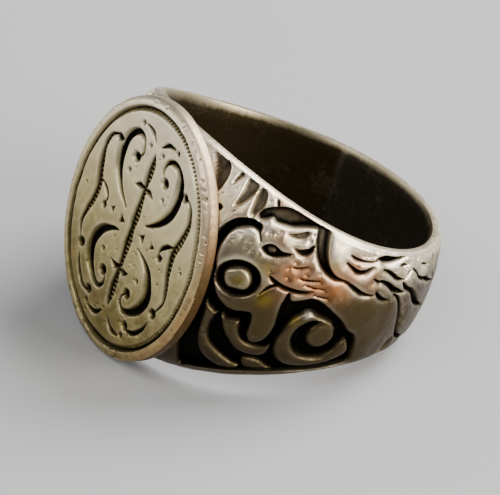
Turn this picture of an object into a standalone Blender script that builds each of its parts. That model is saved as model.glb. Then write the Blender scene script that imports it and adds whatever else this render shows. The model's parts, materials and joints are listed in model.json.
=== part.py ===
"""Oval signet ring with carved shoulders, lying on its side.

The ring is a soldered assembly: an oval signet table on a saddle-shaped head base, a shoulder
casting on each side of the head, a plain rear shank that closes the hoop, and the solder that
joins them. Every hoop piece is a sector of one tapered, crowned band, so the pieces share one
set of sizes. The pieces are modelled about the finger hole and hang from an empty that lays the
ring down on the table's lower end and the back of the shank, with its lowest points at z = 0.

Ring axes under that empty: +X towards the right shoulder, -Y out of the signet table,
+Z along the finger hole. Angles are in degrees round the hole, 0 at the table, 90 at +X.
"""

import math

import bmesh
import bpy
from mathutils import Matrix

MM = 0.001

# Hoop: the finger hole and the band's half width at the head, at the side and at the back
FINGER_RADIUS = 9.5 * MM
HEAD_HALF_WIDTH = 7.8 * MM
SIDE_HALF_WIDTH = 4.25 * MM
BACK_HALF_WIDTH = 3.35 * MM

# Wall: the rim beside the hole is even, and the crown rises from it to the middle of the band
RIM_WALL = 0.75 * MM
HEAD_CROWN = 3.6 * MM
SIDE_CROWN = 0.6 * MM
BACK_CROWN = 0.5 * MM
CROWN_POWER = 2.4
EDGE_BREAK = 0.12 * MM

# Seat: the head's wall is filed flat, and this much of it is left over the finger hole
HEAD_WALL = 0.94 * MM

# Signet table: an oval plate
TABLE_HALF_LENGTH = 8.65 * MM
TABLE_HALF_WIDTH = 7.55 * MM
TABLE_THICKNESS = 1.1 * MM
TABLE_EDGE_ROUND = 0.36 * MM
BORDER_INSET = 0.8 * MM
BORDER_WIRE = 0.17 * MM
BORDER_DEPTH = 0.1 * MM

# Joints between the pieces
SOLDER_THICKNESS = 0.1 * MM
CLEARANCE = 0.03 * MM
SOLDER_SETBACK = 0.06 * MM
TABLE_SOLDER_MARGIN = 0.7 * MM
HEAD_JOINT_ANGLE = 24.0
SHANK_JOINT_ANGLE = 149.0

# Facets
SECTION_STEP = 3.5
CROWN_POINTS = 13
TABLE_POINTS = 80
BORDER_POINTS = 64

JOINT_WIDTH = SOLDER_THICKNESS + 2 * CLEARANCE
SEAT_DISTANCE = FINGER_RADIUS + HEAD_WALL
FACE_DISTANCE = SEAT_DISTANCE + JOINT_WIDTH + TABLE_THICKNESS


def clear_scene():
    """Remove every object of the startup scene."""
    for item in list(bpy.data.objects):
        bpy.data.objects.remove(item)


def new_collection(name):
    """A collection in the scene, for the parts or for the cutters."""
    made = bpy.data.collections.new(name)
    bpy.context.scene.collection.children.link(made)
    return made


def metal(name, colour, roughness):
    """A metallic material with the given linear colour and roughness."""
    made = bpy.data.materials.new(name)
    made.use_nodes = True
    shader = made.node_tree.nodes["Principled BSDF"]
    shader.inputs["Base Color"].default_value = (*colour, 1.0)
    shader.inputs["Metallic"].default_value = 1.0
    shader.inputs["Roughness"].default_value = roughness
    made.diffuse_color = (*colour, 1.0)
    return made


def from_back(angle):
    """1 at the head and 0 at the back of the hoop, changing smoothly in between."""
    return math.cos(math.radians(angle) / 2) ** 2


def through_side(head, side, back, angle):
    """A size that runs from the head to the back and passes through its value at the side."""
    power = math.log((side - back) / (head - back)) / math.log(0.5)
    return back + (head - back) * from_back(angle) ** power


def half_width(angle):
    return through_side(HEAD_HALF_WIDTH, SIDE_HALF_WIDTH, BACK_HALF_WIDTH, angle)


def crown(angle):
    return through_side(HEAD_CROWN, SIDE_CROWN, BACK_CROWN, angle)


def outer_radius(angle, share):
    """Radius of the band's outside, at this share of the half width from its middle.

    Under the table the band is filed flat to the seat that the table is soldered on.
    """
    radius = FINGER_RADIUS + RIM_WALL + crown(angle) * (1 - abs(share) ** CROWN_POWER)
    facing = math.cos(math.radians(angle))
    if facing > 0:
        radius = min(radius, SEAT_DISTANCE / facing)
    return radius


def band_section(angle, setback=0.0):
    """The band's outline at one angle, as (radius, height) points running round the section."""
    tall = half_width(angle) - setback
    inner = FINGER_RADIUS + setback
    points = [(inner, -tall + EDGE_BREAK), (inner + EDGE_BREAK, -tall)]
    for step in range(CROWN_POINTS):
        share = -math.cos(math.pi * step / (CROWN_POINTS - 1))
        inset = EDGE_BREAK * abs(share) ** 8
        points.append((outer_radius(angle, share) - setback, share * (tall - inset)))
    points += [(inner + EDGE_BREAK, tall), (inner, tall - EDGE_BREAK)]
    return points


def place_mesh(name, mesh, material, parent, collection):
    """An object for a finished mesh, hung from the empty that lays the ring down."""
    made = bpy.data.objects.new(name, mesh)
    mesh.materials.clear()
    mesh.materials.append(material)
    mesh.shade_smooth()
    mesh.set_sharp_from_angle(angle=math.radians(35))
    collection.objects.link(made)
    made.parent = parent
    return made


def band_sector(name, start, end, setback=0.0):
    """A closed solid of the band between two angles, lofted through its sections."""
    count = max(2, math.ceil(abs(end - start) / SECTION_STEP) + 1)
    mesh = bpy.data.meshes.new(name)
    work = bmesh.new()
    rows = []
    for index in range(count):
        angle = start + (end - start) * index / (count - 1)
        turn = math.radians(angle)
        row = []
        for radius, height in band_section(angle, setback):
            row.append(work.verts.new((radius * math.sin(turn), -radius * math.cos(turn), height)))
        rows.append(row)
    for row, following in zip(rows, rows[1:]):
        for index in range(len(row)):
            after = (index + 1) % len(row)
            work.faces.new((row[index], row[after], following[after], following[index]))
    work.faces.new(rows[0])
    work.faces.new(rows[-1])
    bmesh.ops.recalc_face_normals(work, faces=work.faces)
    work.to_mesh(mesh)
    work.free()
    return mesh


def joint_share(angle):
    """Half of a joint's width as an angle, measured in the middle of the band's wall."""
    middle = (FINGER_RADIUS + outer_radius(angle, 0.0)) / 2
    return math.degrees(JOINT_WIDTH / 2 / middle)


def solder_share(angle):
    """Half of a solder seam's width as an angle, measured where the joint's is."""
    return joint_share(angle) * SOLDER_THICKNESS / JOINT_WIDTH


def oval_plate(name, half_width_x, half_length_z, low, high):
    """A flat oval disc whose axis points out of the table, between two distances from the hole."""
    bpy.ops.mesh.primitive_cylinder_add(vertices=TABLE_POINTS, radius=1.0, depth=high - low)
    made = bpy.context.object
    made.name = name
    lie = Matrix.Rotation(math.radians(90), 4, "X")
    size = Matrix.Diagonal((half_width_x, half_length_z, 1.0, 1.0))
    made.data.transform(Matrix.Translation((0, -(low + high) / 2, 0)) @ lie @ size)
    return made


def move_to(made, collection):
    """Take an object out of the collections it was made in, and put it in this one."""
    for holder in list(made.users_collection):
        holder.objects.unlink(made)
    collection.objects.link(made)


def border_cutter(parent, collection):
    """The round wire that cuts the border groove into the table's face."""
    curve = bpy.data.curves.new("border_path", "CURVE")
    curve.dimensions = "3D"
    curve.bevel_depth = BORDER_WIRE
    curve.bevel_resolution = 1
    spline = curve.splines.new("POLY")
    spline.points.add(BORDER_POINTS - 1)
    depth = FACE_DISTANCE + BORDER_WIRE - BORDER_DEPTH
    for index, point in enumerate(spline.points):
        turn = 2 * math.pi * index / BORDER_POINTS
        across = (TABLE_HALF_WIDTH - BORDER_INSET) * math.sin(turn)
        along = (TABLE_HALF_LENGTH - BORDER_INSET) * math.cos(turn)
        point.co = (across, -depth, along, 1.0)
    spline.use_cyclic_u = True
    path = bpy.data.objects.new("border_path", curve)
    collection.objects.link(path)
    bpy.context.view_layer.update()
    graph = bpy.context.evaluated_depsgraph_get()
    mesh = bpy.data.meshes.new_from_object(path.evaluated_get(graph))
    bpy.data.objects.remove(path)
    work = bmesh.new()
    work.from_mesh(mesh)
    bmesh.ops.remove_doubles(work, verts=work.verts, dist=0.001 * MM)
    bmesh.ops.recalc_face_normals(work, faces=work.faces)
    work.to_mesh(mesh)
    work.free()
    cutter = bpy.data.objects.new("border_cutter", mesh)
    collection.objects.link(cutter)
    cutter.parent = parent
    cutter.hide_render = True
    cutter.display_type = "WIRE"
    return cutter


def table_edge_round():
    """The rounding of the plate's two edges, which its thickness limits."""
    return min(TABLE_EDGE_ROUND, 0.4 * TABLE_THICKNESS)


def signet_table(parent, collection, cutters, material):
    """The oval plate: rounded along its edges, with the border groove cut in its face."""
    seat_side = SEAT_DISTANCE + JOINT_WIDTH
    made = oval_plate("signet_table", TABLE_HALF_WIDTH, TABLE_HALF_LENGTH, seat_side, FACE_DISTANCE)
    made.data.materials.append(material)
    made.data.shade_smooth()
    made.data.set_sharp_from_angle(angle=math.radians(35))
    move_to(made, collection)
    made.parent = parent
    edge = made.modifiers.new("worn_edge", "BEVEL")
    edge.width = table_edge_round()
    edge.segments = 3
    edge.limit_method = "ANGLE"
    edge.angle_limit = math.radians(60)
    groove = made.modifiers.new("border_groove", "BOOLEAN")
    groove.operation = "DIFFERENCE"
    groove.solver = "EXACT"
    groove.object = border_cutter(parent, cutters)
    return made


def table_solder(parent, collection, material):
    """The solder film between the table and its seat."""
    low = SEAT_DISTANCE + CLEARANCE
    made = oval_plate(
        "table_solder",
        TABLE_HALF_WIDTH - TABLE_SOLDER_MARGIN,
        TABLE_HALF_LENGTH - TABLE_SOLDER_MARGIN,
        low,
        low + SOLDER_THICKNESS,
    )
    made.data.materials.append(material)
    made.data.shade_smooth()
    made.data.set_sharp_from_angle(angle=math.radians(35))
    move_to(made, collection)
    made.parent = parent
    return made


def pitch_on(heel_length, heel_distance):
    """The pitch at which the ring, tipped back on this heel, first meets the ground behind."""
    pitches = []
    for angle in range(95, 181, 5):
        facing = math.cos(math.radians(angle))
        for radius, height in band_section(angle):
            pitches.append(math.atan2(heel_length + height, heel_distance - radius * facing))
    return min(pitches)


def rest_angle():
    """The pitch at which the ring lies, on the table's lower end or on the head's, if it is longer."""
    heels = [(TABLE_HALF_LENGTH, SEAT_DISTANCE + JOINT_WIDTH + table_edge_round())]
    heels += [(-height, radius) for radius, height in band_section(0.0)]
    return max(pitch_on(length, distance) for length, distance in heels)


def lowest_point(objects):
    """Lowest world z of these objects as they are evaluated."""
    bpy.context.view_layer.update()
    graph = bpy.context.evaluated_depsgraph_get()
    lowest = math.inf
    for item in objects:
        evaluated = item.evaluated_get(graph)
        mesh = evaluated.to_mesh()
        for vertex in mesh.vertices:
            lowest = min(lowest, (evaluated.matrix_world @ vertex.co).z)
        evaluated.to_mesh_clear()
    return lowest


def footprint_middle(objects):
    """World y halfway along the objects as they are evaluated."""
    bpy.context.view_layer.update()
    graph = bpy.context.evaluated_depsgraph_get()
    places = []
    for item in objects:
        evaluated = item.evaluated_get(graph)
        mesh = evaluated.to_mesh()
        places += [(evaluated.matrix_world @ vertex.co).y for vertex in mesh.vertices]
        evaluated.to_mesh_clear()
    return (min(places) + max(places)) / 2


def build():
    clear_scene()
    parts = new_collection("signet_ring")
    cutters = new_collection("cutters")
    cutters.hide_render = True
    table_silver = metal("table_silver", (0.42, 0.40, 0.31), 0.42)
    cast_silver = metal("cast_silver", (0.45, 0.38, 0.31), 0.36)
    rolled_silver = metal("rolled_silver", (0.50, 0.44, 0.37), 0.32)
    solder_silver = metal("solder_silver", (0.55, 0.50, 0.40), 0.40)

    lay = bpy.data.objects.new("ring_axes", None)
    parts.objects.link(lay)
    lay.empty_display_size = FINGER_RADIUS
    lay.rotation_euler = (-rest_angle(), 0.0, 0.0)

    head_edge = HEAD_JOINT_ANGLE - joint_share(HEAD_JOINT_ANGLE)
    shoulder_start = HEAD_JOINT_ANGLE + joint_share(HEAD_JOINT_ANGLE)
    shoulder_end = SHANK_JOINT_ANGLE - joint_share(SHANK_JOINT_ANGLE)
    shank_start = SHANK_JOINT_ANGLE + joint_share(SHANK_JOINT_ANGLE)

    made = []
    base = band_sector("head_base", -head_edge, head_edge)
    made.append(place_mesh("head_base", base, cast_silver, lay, parts))
    shank = band_sector("rear_shank", shank_start, 360.0 - shank_start)
    made.append(place_mesh("rear_shank", shank, rolled_silver, lay, parts))
    for side, sign in (("right", 1), ("left", -1)):
        shoulder = band_sector(f"shoulder_{side}", sign * shoulder_start, sign * shoulder_end)
        made.append(place_mesh(f"shoulder_{side}", shoulder, cast_silver, lay, parts))
        for joint, angle in (("head", HEAD_JOINT_ANGLE), ("shank", SHANK_JOINT_ANGLE)):
            name = f"{joint}_solder_{side}"
            half = solder_share(angle)
            seam = band_sector(name, sign * (angle - half), sign * (angle + half), SOLDER_SETBACK)
            made.append(place_mesh(name, seam, solder_silver, lay, parts))
    made.append(signet_table(lay, parts, cutters, table_silver))
    made.append(table_solder(lay, parts, solder_silver))

    lay.location.y = -footprint_middle(made)
    lay.location.z = -lowest_point(made)
    bpy.context.view_layer.update()


build()
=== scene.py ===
# %% [markdown]
# # A worn signet ring
#
# The ring is cast and fabricated in silver: an oval signet table is soldered on a saddle-shaped
# head, two carved shoulders run back from the head, and a plain shank closes the hoop. The
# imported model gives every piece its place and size. This lesson gives each piece its finished
# surface: the engraving on the table, the eagle's head and scroll on the shoulders, and the
# dark patina that a century of wear leaves in every recess.
#
# Lengths are written in millimetres and turned to metres where a mesh is made.

import json
import math

import bmesh
import bpy
import numpy as np
from mathutils import Matrix, Vector


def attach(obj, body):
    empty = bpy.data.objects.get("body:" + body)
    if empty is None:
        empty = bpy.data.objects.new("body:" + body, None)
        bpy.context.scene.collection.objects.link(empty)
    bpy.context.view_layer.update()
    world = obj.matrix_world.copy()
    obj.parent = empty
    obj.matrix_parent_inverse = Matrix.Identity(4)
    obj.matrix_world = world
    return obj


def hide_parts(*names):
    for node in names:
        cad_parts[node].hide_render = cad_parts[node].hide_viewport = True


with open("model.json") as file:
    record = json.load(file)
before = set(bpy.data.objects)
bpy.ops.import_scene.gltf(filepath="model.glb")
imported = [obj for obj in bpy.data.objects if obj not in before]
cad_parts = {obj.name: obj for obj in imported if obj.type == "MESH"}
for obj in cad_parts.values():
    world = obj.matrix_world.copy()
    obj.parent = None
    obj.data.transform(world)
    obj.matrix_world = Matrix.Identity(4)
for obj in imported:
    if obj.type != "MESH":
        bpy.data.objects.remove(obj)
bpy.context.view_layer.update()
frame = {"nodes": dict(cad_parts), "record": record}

# %% [markdown]
# ## The ring's own axes
#
# A jeweller measures a ring round its finger hole: how far round from the table, how far out
# from the middle of the hole, and how far along the finger. The record's two mounts give the
# hole's centre, the finger's direction and the direction out of the table, so a point on the
# ring is an angle, a radius and a distance across. One matrix lays the finished ring down.

# %% Find the hole, the table's direction and the sizes that the shapes follow
MM = 0.001
mounts = {mount["name"]: mount for mount in frame["record"]["mounts"]}
hole_centre = np.array(mounts["finger"]["pos_m"])
finger_axis = np.array(mounts["finger"]["axis"])
face_axis = np.array(mounts["signet_face"]["axis"])
side_axis = np.cross(finger_axis, face_axis)
lay_down = Matrix(np.vstack([
    np.column_stack([side_axis, -face_axis, finger_axis, hole_centre]),
    [0, 0, 0, 1],
]).tolist())


def ring_coordinates(node):
    """Angle in degrees, radius and distance across in mm, of each vertex of a CAD node."""
    points = np.array([vertex.co for vertex in frame["nodes"][node].data.vertices]) - hole_centre
    side, out, across = points @ side_axis / MM, points @ face_axis / MM, points @ finger_axis / MM
    return np.degrees(np.arctan2(side, out)) % 360, np.hypot(side, out), across


def widest_at(node, turn):
    """Half width of the band and its greatest radius, in mm, where it passes this angle."""
    angle, radius, across = ring_coordinates(node)
    here = np.abs((angle - turn + 180) % 360 - 180) < 2
    return float(across[here].max()), float(radius[here].max())


head_half_width, _ = widest_at("head_base", 0)
side_half_width, side_radius = widest_at("shoulder_right", 90)
back_half_width, back_radius = widest_at("rear_shank", 180)
hole_radius = float(ring_coordinates("rear_shank")[1].min())
seat_distance = float(((np.array([v.co for v in frame["nodes"]["head_base"].data.vertices])
                        - hole_centre) @ face_axis).max() / MM)
face_distance = float((np.array(mounts["signet_face"]["pos_m"]) - hole_centre) @ face_axis / MM)
print(f"hole radius {hole_radius:.2f}, seat {seat_distance:.2f}, face {face_distance:.2f} mm")
print(f"half widths {head_half_width:.2f}, {side_half_width:.2f}, {back_half_width:.2f} mm")

# %% [markdown]
# ## Colours and nodes
#
# Colours are written as the hex values that a paint chart or a colour picker gives. Shaders
# work in linear light, so one function converts them. One more function adds a node: it sets
# the node's own settings, then fills each input from a value or from another node's output.

# %% Two small helpers for every node tree


def linear(hex_colour):
    """An sRGB hex colour as the linear RGBA that a shader reads."""
    shares = [int(hex_colour[start:start + 2], 16) / 255 for start in (1, 3, 5)]
    curve = [s / 12.92 if s <= 0.04045 else ((s + 0.055) / 1.055) ** 2.4 for s in shares]
    return (*curve, 1.0)


def add_node(tree, kind, settings=None, inputs=None):
    """Adds a node, with its settings, and with each input set to a value or linked."""
    node = tree.nodes.new(kind)
    for name, value in (settings or {}).items():
        setattr(node, name, value)
    for name, value in (inputs or {}).items():
        if isinstance(value, bpy.types.NodeSocket):
            tree.links.new(value, node.inputs[name])
        else:
            node.inputs[name].default_value = value
    return node


print("silver highlight in linear light:", [round(v, 3) for v in linear("#D8D2C4")])

# %% [markdown]
# ## Silver, in five states
#
# Old sterling silver is never one colour. Skin and cloth keep the high points bright. Where the
# surface has worn through, copper comes up warm, and in places a brassy yellow. Sheltered metal
# dulls to an olive grey, and the deepest cuts hold black silver sulphide. Light and shade are
# painted in as well: a painted shade darkens the lower side, the finger hole and the table's
# wall, and a painted highlight lightens the upper side. Each mesh carries these as values at
# every vertex. They are worked out from the shape, and the painted light from how high each point
# lies:
# patina, tarnish, copper, brass and wear. Patina and tarnish also hold the painted shade,
# and wear also holds the painted highlight. The material lays one tint over another by them,
# broken up by soft noise, so that no edge between two states is drawn with a ruler. Fine
# scratches and pits are bump only, since they are about 0.05 mm across and the shapes around
# them are modelled.
#
# The four finishes differ as the pieces do. The table's satin face is rolled sheet, rubbed
# warm. The castings keep a darker, browner tarnish. The shank is rolled and worn smooth by the
# next finger. Solder holds less silver, so it dulls a little more than the metal beside it.

# %% The silver material
CLOUD_SIZE, MOTTLE_SIZE = 2.5, 0.35  # mm
SCRATCH_WIDTH, PIT_SPACING = 0.09, 0.45  # mm, drawn as coarse as the view needs to show them
RECESS_ROUGHNESS = 0.7
WORN_AND_HIGHLIGHT, COPPER, BRASS = "#EFE4D0", "#A4643A", "#8F7B20"


def silver(name, bare, dull_and_shade, recess_and_shade, shine, dull_shine, scratch):
    """Worn silver: a metal with warm and dull tints, black recesses, painted shade and highlight, and
    fine scratches.
    """
    made = bpy.data.materials.new(name)
    made.use_nodes = True
    tree = made.node_tree
    shader = tree.nodes["Principled BSDF"]
    shader.inputs["Metallic"].default_value = 1.0
    place = add_node(tree, "ShaderNodeTexCoord").outputs["Object"]

    # large clouds and fine mottling break up every tint
    clouds = add_node(tree, "ShaderNodeTexNoise", None,
                      {"Vector": place, "Scale": 1 / (CLOUD_SIZE * MM), "Detail": 3.0})
    mottle = add_node(tree, "ShaderNodeTexNoise", None,
                      {"Vector": place, "Scale": 1 / (MOTTLE_SIZE * MM), "Detail": 6.0,
                       "Roughness": 0.7})
    both = add_node(tree, "ShaderNodeMath", {"operation": "ADD"},
                    {0: clouds.outputs["Fac"], 1: mottle.outputs["Fac"]})
    broken = add_node(tree, "ShaderNodeMapRange", None,
                      {"Value": both.outputs[0], "From Min": 0.8, "From Max": 1.15, "To Min": 0.65})

    # each tint lies over the last, as strong as its value at the vertex
    colour = add_node(tree, "ShaderNodeRGB")
    colour.outputs[0].default_value = linear(bare)
    colour = colour.outputs[0]
    # the tarnish tint also lays on the painted shade, and the worn tint the painted highlight
    for attribute, tint, most in (("tarnish_and_shade", dull_and_shade, 1.4), ("wear_and_highlight", WORN_AND_HIGHLIGHT, 0.8),
                                  ("copper", COPPER, 0.8), ("brass", BRASS, 0.6)):
        value = add_node(tree, "ShaderNodeAttribute", {"attribute_name": attribute}).outputs["Fac"]
        thinned = add_node(tree, "ShaderNodeMath", {"operation": "MULTIPLY"}, {0: value, 1: most})
        share = add_node(tree, "ShaderNodeMath", {"operation": "MULTIPLY", "use_clamp": True},
                         {0: thinned.outputs[0], 1: broken.outputs["Result"]})
        colour = add_node(tree, "ShaderNodeMix", {"data_type": "RGBA"},
                          {0: share.outputs[0], 6: colour, 7: linear(tint)}).outputs[2]

    # the edge of the patina and of the painted shade is broken up by the mottling
    patina_and_shade = add_node(tree, "ShaderNodeAttribute", {"attribute_name": "patina_and_shade"}).outputs["Fac"]
    ragged = add_node(tree, "ShaderNodeMath", {"operation": "MULTIPLY_ADD"},
                      {0: mottle.outputs["Fac"], 1: 0.35, 2: patina_and_shade})
    dark = add_node(tree, "ShaderNodeMapRange", {"interpolation_type": "SMOOTHSTEP"},
                    {"Value": ragged.outputs[0], "From Min": 0.12, "From Max": 1.1})
    stained = add_node(tree, "ShaderNodeMix", {"data_type": "RGBA"},
                       {0: dark.outputs["Result"], 6: colour, 7: linear(recess_and_shade)})
    tree.links.new(stained.outputs[2], shader.inputs["Base Color"])

    roughness = add_node(tree, "ShaderNodeMapRange", None,
                         {"Value": mottle.outputs["Fac"], "From Min": 0.35, "From Max": 0.7,
                          "To Min": shine, "To Max": dull_shine})
    in_recess = add_node(tree, "ShaderNodeMix", {"data_type": "FLOAT"},
                         {0: dark.outputs["Result"], 2: roughness.outputs["Result"],
                          3: RECESS_ROUGHNESS})
    tree.links.new(in_recess.outputs[0], shader.inputs["Roughness"])

    # scratches run along the finger, because rings are rubbed that way; pits lie anywhere
    along = add_node(tree, "ShaderNodeMapping", None,
                     {"Vector": place, "Rotation": (0.35, 0.2, 0.6), "Scale": (1.0, 0.12, 1.0)})
    scratches = add_node(tree, "ShaderNodeTexNoise", None,
                         {"Vector": along.outputs["Vector"], "Scale": 1 / (SCRATCH_WIDTH * MM),
                          "Detail": 4.0})
    pits = add_node(tree, "ShaderNodeTexVoronoi", None,
                    {"Vector": place, "Scale": 1 / (PIT_SPACING * MM)})
    pit_edge = add_node(tree, "ShaderNodeMapRange", None,
                        {"Value": pits.outputs["Distance"], "From Min": 0.05, "From Max": 0.16})
    grain = add_node(tree, "ShaderNodeMath", {"operation": "MULTIPLY_ADD"},
                     {0: scratches.outputs["Fac"], 1: scratch, 2: pit_edge.outputs["Result"]})
    bump = add_node(tree, "ShaderNodeBump", None,
                    {"Height": grain.outputs[0], "Strength": 0.3, "Distance": 0.03 * MM})
    tree.links.new(bump.outputs["Normal"], shader.inputs["Normal"])
    return made


# name, bare colour, dull colour (tarnish and painted shade), recess colour (patina and painted
# shade), roughness where bare and where dull, strength of scratches
table_finish = silver("worn satin silver", "#D2C592", "#7A6C40", "#120F08", 0.36, 0.52, 1.3)
carved_finish = silver("oxidised cast silver", "#B9AC8D", "#463B25", "#090805", 0.32, 0.48, 0.9)
shank_finish = silver("rubbed rolled silver", "#BDB092", "#4A4336", "#110F0B", 0.32, 0.48, 1.0)
solder_finish = silver("silver solder", "#B5A988", "#3F3729", "#110F0B", 0.36, 0.5, 0.8)
print("finishes:", [material.name for material in bpy.data.materials])

# %% [markdown]
# ## The band's rule, as Geometry Nodes
#
# Every piece of the hoop is a sector of one tapered, crowned band, so one node tree makes them
# all. A flat grid is rolled up: its first direction runs round the finger hole from `Start` to
# `End`, its second runs round the section, first over the outside and then back along the
# hole. The half width and the crown are each a power of cos²(angle/2) that passes through
# three sizes: at the head, at the side and at the back. One extra column at each end shrinks
# to a point, and merging those points closes the ends.
#
# The tree is long but flat, so its sums are written as rows: a name, an operation and what
# goes in. The tree also stores each point's angle, its distance across and whether it is on
# the outside, for the carving to read.

# %% Write the band's inputs and its sums
RIM_WALL, HEAD_CROWN, EDGE_ROUND = 0.75, 3.6, 0.2  # mm
CROWN_POWER = 2.4  # the crown falls from the middle to the rims as this power of the distance

band_inputs = [
    ("Start", "NodeSocketFloat"), ("End", "NodeSocketFloat"), ("Setback", "NodeSocketFloat"),
    ("Along", "NodeSocketInt"), ("Outside", "NodeSocketInt"), ("Inside", "NodeSocketInt"),
    ("Hole Radius", "NodeSocketFloat"), ("Rim Wall", "NodeSocketFloat"),
    ("Seat Distance", "NodeSocketFloat"), ("Edge Round", "NodeSocketFloat"),
    ("Head Width", "NodeSocketFloat"), ("Side Width", "NodeSocketFloat"),
    ("Back Width", "NodeSocketFloat"), ("Head Crown", "NodeSocketFloat"),
    ("Side Crown", "NodeSocketFloat"), ("Back Crown", "NodeSocketFloat"),
    ("Crown Power", "NodeSocketFloat"), ("Finish", "NodeSocketMaterial"),
]

band_rows = [
    # which column and row of the grid a point belongs to
    ("cells round", "ADD", "Outside", "Inside"),
    ("points round", "ADD", "cells round", 1),
    ("grid rows", "ADD", "cells round", 2),
    ("grid columns", "ADD", "Along", 3),
    ("columns before", "DIVIDE", "Index", "grid rows"),
    ("column", "FLOOR", "columns before", 0),
    ("row in grid", "MODULO", "Index", "grid rows"),
    ("row", "MODULO", "row in grid", "points round"),
    # how far round the hole, and whether this column is one of the two that shrink
    ("step", "SUBTRACT", "column", 1),
    ("step up", "MAXIMUM", "step", 0),
    ("step held", "MINIMUM", "step up", "Along"),
    ("share along", "DIVIDE", "step held", "Along"),
    ("sweep", "SUBTRACT", "End", "Start"),
    ("swept", "MULTIPLY", "sweep", "share along"),
    ("angle", "ADD", "Start", "swept"),
    ("turn", "RADIANS", "angle", 0),
    ("last column", "ADD", "Along", 1.5),
    ("is first", "LESS_THAN", "column", 0.5),
    ("is last", "GREATER_THAN", "column", "last column"),
    ("shrinks", "ADD", "is first", "is last"),
    ("stays", "SUBTRACT", 1, "shrinks"),
    # share of the half width: -1 to 1 over the outside, then back along the hole
    ("outside end", "ADD", "Outside", 0.5),
    ("is outside", "LESS_THAN", "row", "outside end"),
    ("out cells", "DIVIDE", "row", "Outside"),
    ("out double", "MULTIPLY", "out cells", 2),
    ("out share", "SUBTRACT", "out double", 1),
    ("rows past", "SUBTRACT", "row", "Outside"),
    ("rows inside", "SUBTRACT", "rows past", 1),
    ("gaps inside", "SUBTRACT", "Inside", 1),
    ("in cells", "DIVIDE", "rows inside", "gaps inside"),
    ("in double", "MULTIPLY", "in cells", 2),
    ("in share", "SUBTRACT", 1, "in double"),
    ("share gap", "SUBTRACT", "out share", "in share"),
    ("share pick", "MULTIPLY", "share gap", "is outside"),
    ("even share", "ADD", "in share", "share pick"),
    # crowd the points a little towards the two edges
    ("quarter turn", "MULTIPLY", "even share", math.pi / 2),
    ("eased", "SINE", "quarter turn", 0),
    ("ease gap", "SUBTRACT", "eased", "even share"),
    ("ease", "MULTIPLY", "ease gap", 0.25),
    ("share", "ADD", "even share", "ease"),
    # the half width and the crown at this angle
    ("half turn", "MULTIPLY", "turn", 0.5),
    ("half cosine", "COSINE", "half turn", 0),
    ("from back", "MULTIPLY", "half cosine", "half cosine"),
    ("width side", "SUBTRACT", "Side Width", "Back Width"),
    ("width head", "SUBTRACT", "Head Width", "Back Width"),
    ("width ratio", "DIVIDE", "width side", "width head"),
    ("width bend", "LOGARITHM", "width ratio", 0.5),
    ("width rise", "POWER", "from back", "width bend"),
    ("width grown", "MULTIPLY", "width head", "width rise"),
    ("full width", "ADD", "Back Width", "width grown"),
    ("half width", "SUBTRACT", "full width", "Setback"),
    ("crown side", "SUBTRACT", "Side Crown", "Back Crown"),
    ("crown head", "SUBTRACT", "Head Crown", "Back Crown"),
    ("crown ratio", "DIVIDE", "crown side", "crown head"),
    ("crown bend", "LOGARITHM", "crown ratio", 0.5),
    ("crown rise", "POWER", "from back", "crown bend"),
    ("crown grown", "MULTIPLY", "crown head", "crown rise"),
    ("crown", "ADD", "Back Crown", "crown grown"),
    # the outside radius, filed flat under the table
    ("across", "MULTIPLY", "share", "half width"),
    ("off middle", "ABSOLUTE", "share", 0),
    ("fall", "POWER", "off middle", "Crown Power"),
    ("dome", "SUBTRACT", 1, "fall"),
    ("rise", "MULTIPLY", "crown", "dome"),
    ("rim radius", "ADD", "Hole Radius", "Rim Wall"),
    ("crowned radius", "ADD", "rim radius", "rise"),
    ("facing", "COSINE", "turn", 0),
    ("facing up", "MAXIMUM", "facing", 0.001),
    ("seat radius", "DIVIDE", "Seat Distance", "facing up"),
    ("filed radius", "MINIMUM", "crowned radius", "seat radius"),
    ("top radius", "SUBTRACT", "filed radius", "Setback"),
    ("hole wall", "ADD", "Hole Radius", "Setback"),
    # both edges are rounded over
    ("off centre", "ABSOLUTE", "across", 0),
    ("flat width", "SUBTRACT", "half width", "Edge Round"),
    ("past flat", "SUBTRACT", "off centre", "flat width"),
    ("edge share", "DIVIDE", "past flat", "Edge Round"),
    ("edge low", "MAXIMUM", "edge share", 0),
    ("edge held", "MINIMUM", "edge low", 1),
    ("edge square", "MULTIPLY", "edge held", "edge held"),
    ("edge left", "SUBTRACT", 1, "edge square"),
    ("edge height", "SQRT", "edge left", 0),
    ("edge lost", "SUBTRACT", 1, "edge height"),
    ("edge drop", "MULTIPLY", "edge lost", "Edge Round"),
    ("outer wall", "SUBTRACT", "top radius", "edge drop"),
    ("inner wall", "ADD", "hole wall", "edge drop"),
    ("wall", "SUBTRACT", "outer wall", "inner wall"),
    ("wall pick", "MULTIPLY", "wall", "is outside"),
    ("section radius", "ADD", "inner wall", "wall pick"),
    # the two extra columns shrink to the middle of the wall
    ("half rim", "MULTIPLY", "Rim Wall", 0.5),
    ("middle", "ADD", "Hole Radius", "half rim"),
    ("to middle", "SUBTRACT", "middle", "section radius"),
    ("shrink", "MULTIPLY", "to middle", "shrinks"),
    ("radius", "ADD", "section radius", "shrink"),
    ("height", "MULTIPLY", "across", "stays"),
    ("outside kept", "MULTIPLY", "is outside", "stays"),
    ("sine", "SINE", "turn", 0),
    ("x", "MULTIPLY", "radius", "sine"),
    ("y out", "MULTIPLY", "radius", "facing"),
    ("y", "MULTIPLY", "y out", -1),
]
print("band rule:", len(band_rows), "rows")

# %% Build the tree from the rows


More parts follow.
